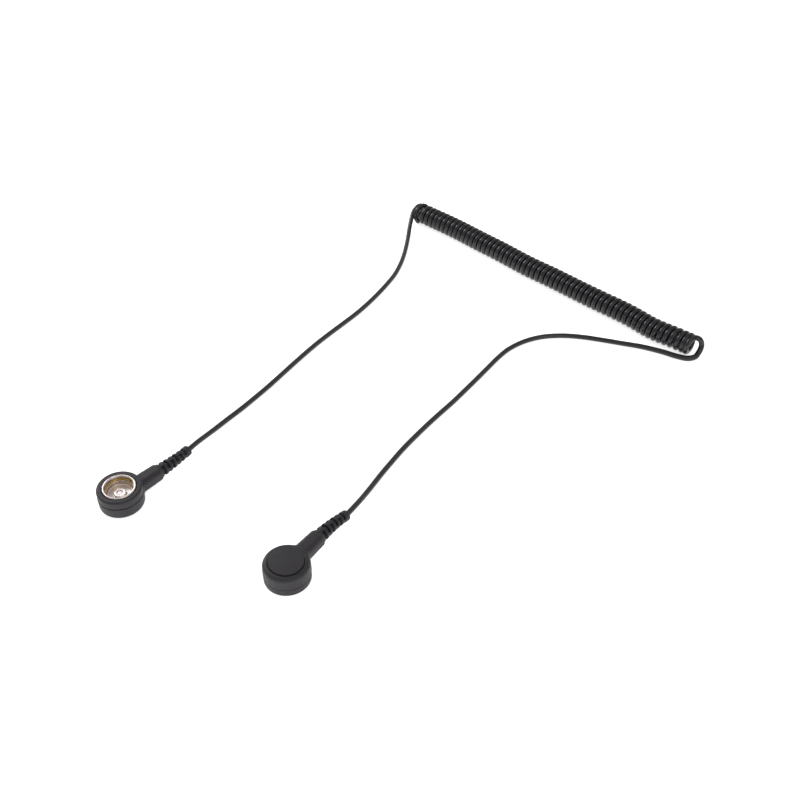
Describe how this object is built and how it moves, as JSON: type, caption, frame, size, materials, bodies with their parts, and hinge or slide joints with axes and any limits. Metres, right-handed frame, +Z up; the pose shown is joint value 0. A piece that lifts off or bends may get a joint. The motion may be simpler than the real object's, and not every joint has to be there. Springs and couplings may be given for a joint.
{
  "type": "coiled grounding cord with press stud sockets",
  "caption": "Coiled ESD grounding cord for a wrist strap, with a press stud socket in a moulded head at each end.",
  "frame": {"origin": "on the surface the cord lies on, at the middle of head A's cap, under the axis of its socket", "axes": "+Z up from the surface, along the axis of both sockets. Head A's neck points 47.5 degrees from +X towards +Y. Head B lies on the +X side, and the coil lies on the +X +Y side."},
  "size_m": [0.2372, 0.2357, 0.0096],
  "materials": {
    "head": "satin",
    "relief": "satin",
    "cord": "semi-gloss",
    "nickel": "bright",
    "bronze": "satin",
    "tinned_copper": "satin",
    "resistor": "satin"
  },
  "bodies": {
    "cord_a": {"cord_tail_a": "cord", "cord_coil": "cord"},
    "cord_b": {"cord_tail_b": "cord"},
    "head_a": {"head_a_body": "head", "head_a_face_ring": "head", "head_a_cap_disc": "head", "head_a_snap_socket": "nickel", "head_a_rivet": "nickel", "head_a_contact_lug": "bronze", "head_a_resistor": "resistor", "head_a_crimp_sleeve": "tinned_copper", "head_a_conductor": "tinned_copper", "head_a_strain_relief": "relief"},
    "head_b": {"head_b_body": "head", "head_b_face_ring": "head", "head_b_cap_disc": "head", "head_b_snap_socket": "nickel", "head_b_rivet": "nickel", "head_b_contact_lug": "bronze", "head_b_resistor": "resistor", "head_b_crimp_sleeve": "tinned_copper", "head_b_conductor": "tinned_copper", "head_b_strain_relief": "relief"},
    "spring_left_a": {"head_a_spring_left": "bronze"},
    "spring_right_a": {"head_a_spring_right": "bronze"},
    "spring_left_b": {"head_b_spring_left": "bronze"},
    "spring_right_b": {"head_b_spring_right": "bronze"}
  },
  "joints": [
    {"name": "coil_stretch", "type": "slide", "parent": "cord_a", "child": "cord_b", "axis": [0.7286, -0.6849, 0], "range_m": [0, 0.64], "stiffness_N_per_m": 5, "deforming": ["cord_coil"]},
    {"name": "head_a_flex", "type": "hinge", "parent": "cord_a", "child": "head_a", "pos_m": [0.01657, 0.01859, 0.00386], "axis": [0, 0, 1], "range_deg": [-45, 45], "stiffness_Nm_per_rad": 0.02, "deforming": ["head_a_strain_relief"]},
    {"name": "head_b_flex", "type": "hinge", "parent": "cord_b", "child": "head_b", "pos_m": [0.07762, -0.01431, 0.00485], "axis": [0, 0, 1], "range_deg": [-45, 45], "stiffness_Nm_per_rad": 0.02, "deforming": ["head_b_strain_relief"]},
    {"name": "spring_left_a_open", "type": "hinge", "parent": "head_a", "child": "spring_left_a", "pos_m": [-0.00365, -0.00398, 0.00762], "axis": [0, 0, -1], "range_deg": [0, 2], "stiffness_Nm_per_rad": 0.05},
    {"name": "spring_right_a_open", "type": "hinge", "parent": "head_a", "child": "spring_right_a", "pos_m": [-0.00365, -0.00398, 0.00762], "axis": [0, 0, 1], "range_deg": [0, 2], "stiffness_Nm_per_rad": 0.05},
    {"name": "spring_left_b_open", "type": "hinge", "parent": "head_b", "child": "spring_left_b", "pos_m": [0.05973, -0.03877, 0.00168], "axis": [0, 0, 1], "range_deg": [0, 2], "stiffness_Nm_per_rad": 0.05},
    {"name": "spring_right_b_open", "type": "hinge", "parent": "head_b", "child": "spring_right_b", "pos_m": [0.05973, -0.03877, 0.00168], "axis": [0, 0, -1], "range_deg": [0, 2], "stiffness_Nm_per_rad": 0.05}
  ],
  "couplings": [
    {"joint": "spring_left_a_open", "follows": "spring_right_a_open", "ratio": 1},
    {"joint": "spring_left_b_open", "follows": "spring_right_b_open", "ratio": 1}
  ]
}
